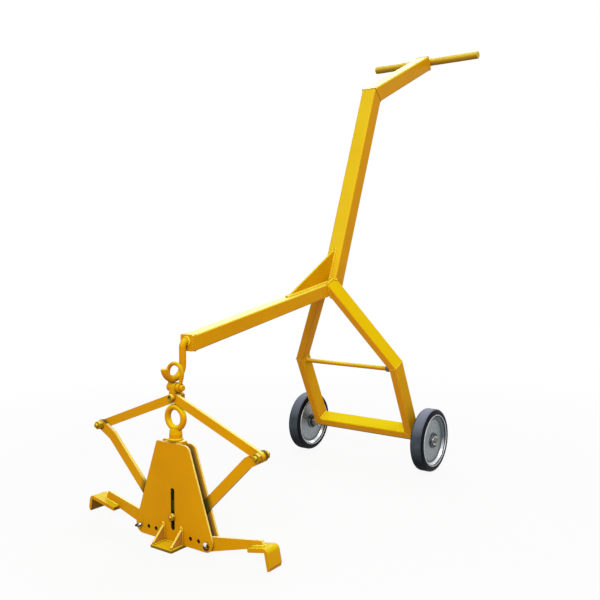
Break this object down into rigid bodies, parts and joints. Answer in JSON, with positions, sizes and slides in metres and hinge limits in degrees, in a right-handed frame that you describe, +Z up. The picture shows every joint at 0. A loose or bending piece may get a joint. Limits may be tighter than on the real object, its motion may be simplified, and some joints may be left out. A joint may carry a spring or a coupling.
{
  "type": "trench cover lifting trolley",
  "caption": "Two-wheeled lever trolley of square tube with a rear handle and a hook on a front arm, carrying a scissor tong whose claws grip the edges of a trench cover.",
  "frame": {"origin": "on the floor, in the middle of the overall width and depth", "axes": "+Z up, +X to the right-hand wheel as seen by the person at the hook end looking back, -Y forward along the arm to the tong"},
  "size_m": [0.612, 1.392, 1.4233],
  "materials": {
    "yellow_paint": "gloss chrome yellow paint",
    "zinc_steel": "zinc plated",
    "dark_steel": "black oxide",
    "tyre_rubber": "matt rubber"
  },
  "bodies": {
    "trolley": {"mast": "yellow_paint", "handle_stem": "yellow_paint", "stem_end_plate": "yellow_paint", "handle_bar": "yellow_paint", "handle_bar_caps": "yellow_paint", "lifting_arm": "yellow_paint", "arm_end_block": "yellow_paint", "hook": "yellow_paint", "gusset": "yellow_paint", "upper_leg_left": "yellow_paint", "upper_leg_right": "yellow_paint", "lower_leg_left": "yellow_paint", "lower_leg_right": "yellow_paint", "cross_member": "yellow_paint", "tie_rod": "yellow_paint", "tie_rod_nut": "zinc_steel", "axle": "zinc_steel", "wheel_spacers": "zinc_steel", "axle_washers": "zinc_steel", "axle_rings": "zinc_steel"},
    "wheel_left": {"tyre_left": "tyre_rubber", "rim_left": "zinc_steel", "hub_left": "zinc_steel", "bearings_left": "dark_steel"},
    "wheel_right": {"tyre_right": "tyre_rubber", "rim_right": "zinc_steel", "hub_right": "zinc_steel", "bearings_right": "dark_steel"},
    "shackle": {"shackle_bow": "yellow_paint", "shackle_pin": "yellow_paint"},
    "tong_head": {"lifting_block": "yellow_paint", "top_bolt": "yellow_paint", "top_nut": "yellow_paint"},
    "tong_link_left": {"link_left": "yellow_paint"},
    "tong_link_right": {"link_right": "yellow_paint"},
    "tong_lever_right": {"lever_right": "yellow_paint", "claw_right": "yellow_paint", "outer_bolt_left": "yellow_paint", "outer_nut_left": "yellow_paint", "outer_washers_left": "yellow_paint"},
    "tong_lever_left": {"lever_left": "yellow_paint", "claw_left": "yellow_paint", "outer_bolt_right": "yellow_paint", "outer_nut_right": "yellow_paint", "outer_washers_right": "yellow_paint"},
    "tong_body": {"front_plate": "yellow_paint", "rear_plate": "yellow_paint", "head_block": "yellow_paint", "eyebolt": "yellow_paint", "foot_plate": "yellow_paint", "foot_gussets": "yellow_paint", "adjusting_pins": "zinc_steel", "pin_rings": "dark_steel", "stop_bolt": "yellow_paint", "stop_sleeve": "yellow_paint", "stop_washers": "yellow_paint", "stop_nut": "yellow_paint"}
  },
  "joints": [
    {"name": "wheel_left_roll", "type": "hinge", "parent": "trolley", "child": "wheel_left", "pos_m": [-0.236, 0.26345, 0.1], "axis": [1, 0, 0], "continuous": true},
    {"name": "wheel_right_roll", "type": "hinge", "parent": "trolley", "child": "wheel_right", "pos_m": [0.236, 0.26345, 0.1], "axis": [1, 0, 0], "continuous": true},
    {"name": "shackle_rock", "type": "hinge", "parent": "trolley", "child": "shackle", "pos_m": [0, -0.64055, 0.384], "axis": [1, 0, 0], "range_deg": [-11, 20]},
    {"name": "tong_swing", "type": "hinge", "parent": "trolley", "child": "tong_head", "pos_m": [0, -0.64055, 0.384], "axis": [1, 0, 0], "range_deg": [-30, 30]},
    {"name": "grip", "type": "hinge", "parent": "tong_head", "child": "tong_link_left", "pos_m": [0, -0.64055, 0.36], "axis": [0, -1, 0], "range_deg": [0, 20]},
    {"name": "link_right_turn", "type": "hinge", "parent": "tong_head", "child": "tong_link_right", "pos_m": [0, -0.64055, 0.36], "axis": [0, 1, 0], "range_deg": [0, 20]},
    {"name": "lever_right_turn", "type": "hinge", "parent": "tong_link_left", "child": "tong_lever_right", "pos_m": [-0.2636, -0.64055, 0.258], "axis": [0, 1, 0], "range_deg": [0, 30.73]},
    {"name": "lever_left_turn", "type": "hinge", "parent": "tong_link_right", "child": "tong_lever_left", "pos_m": [0.2636, -0.64055, 0.258], "axis": [0, -1, 0], "range_deg": [0, 30.73]},
    {"name": "body_turn", "type": "hinge", "parent": "tong_lever_right", "child": "tong_body", "pos_m": [0.11, -0.64055, 0.028], "axis": [0, -1, 0], "range_deg": [0, 10.73]}
  ],
  "couplings": [
    {"joint": "link_right_turn", "follows": "grip", "ratio": 1},
    {"joint": "lever_right_turn", "follows": "grip", "ratio": 1.536},
    {"joint": "lever_left_turn", "follows": "grip", "ratio": 1.536},
    {"joint": "body_turn", "follows": "grip", "ratio": 0.536}
  ]
}
